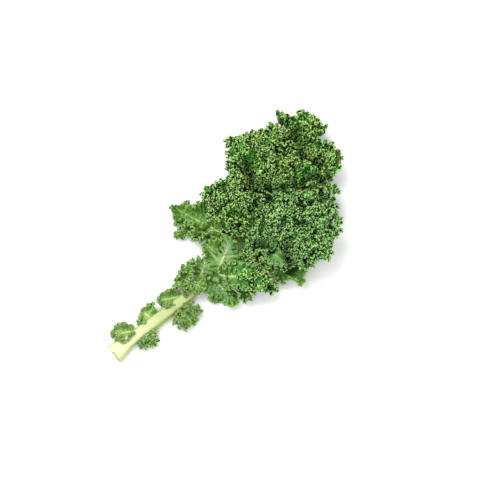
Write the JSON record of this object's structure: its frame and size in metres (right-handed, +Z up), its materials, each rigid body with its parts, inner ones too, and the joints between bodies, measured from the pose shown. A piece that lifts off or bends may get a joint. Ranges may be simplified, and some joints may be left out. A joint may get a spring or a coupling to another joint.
{
  "type": "curly kale leaf",
  "caption": "Curly kale leaf lying on its back: pale cut stalk with small leaflets, and a blade of green lobes folded and curled along their edges.",
  "frame": {"origin": "centre of the bounding box in plan, on the surface that the leaf lies on", "axes": "+X from the cut end of the stalk to the tip of the leaf, +Y to the leaf's left side seen from above, +Z up"},
  "size_m": [0.3212, 0.16, 0.0448],
  "materials": {
    "stalk": "smooth juicy plant stalk, pale yellow green, with a soft satin gloss",
    "blade": "thin waxy leaf, mid to deep green, satin, with paler curled edges and veins",
    "leaflet": "thin waxy leaf, lighter fresh green, satin, with paler curled edges"
  },
  "bodies": {
    "root": {"stalk": "stalk", "blade": "blade", "leaflet_left_1": "leaflet", "leaflet_left_2": "leaflet", "leaflet_left_3": "leaflet", "leaflet_right_1": "leaflet", "leaflet_right_2": "leaflet"}
  },
  "joints": []
}
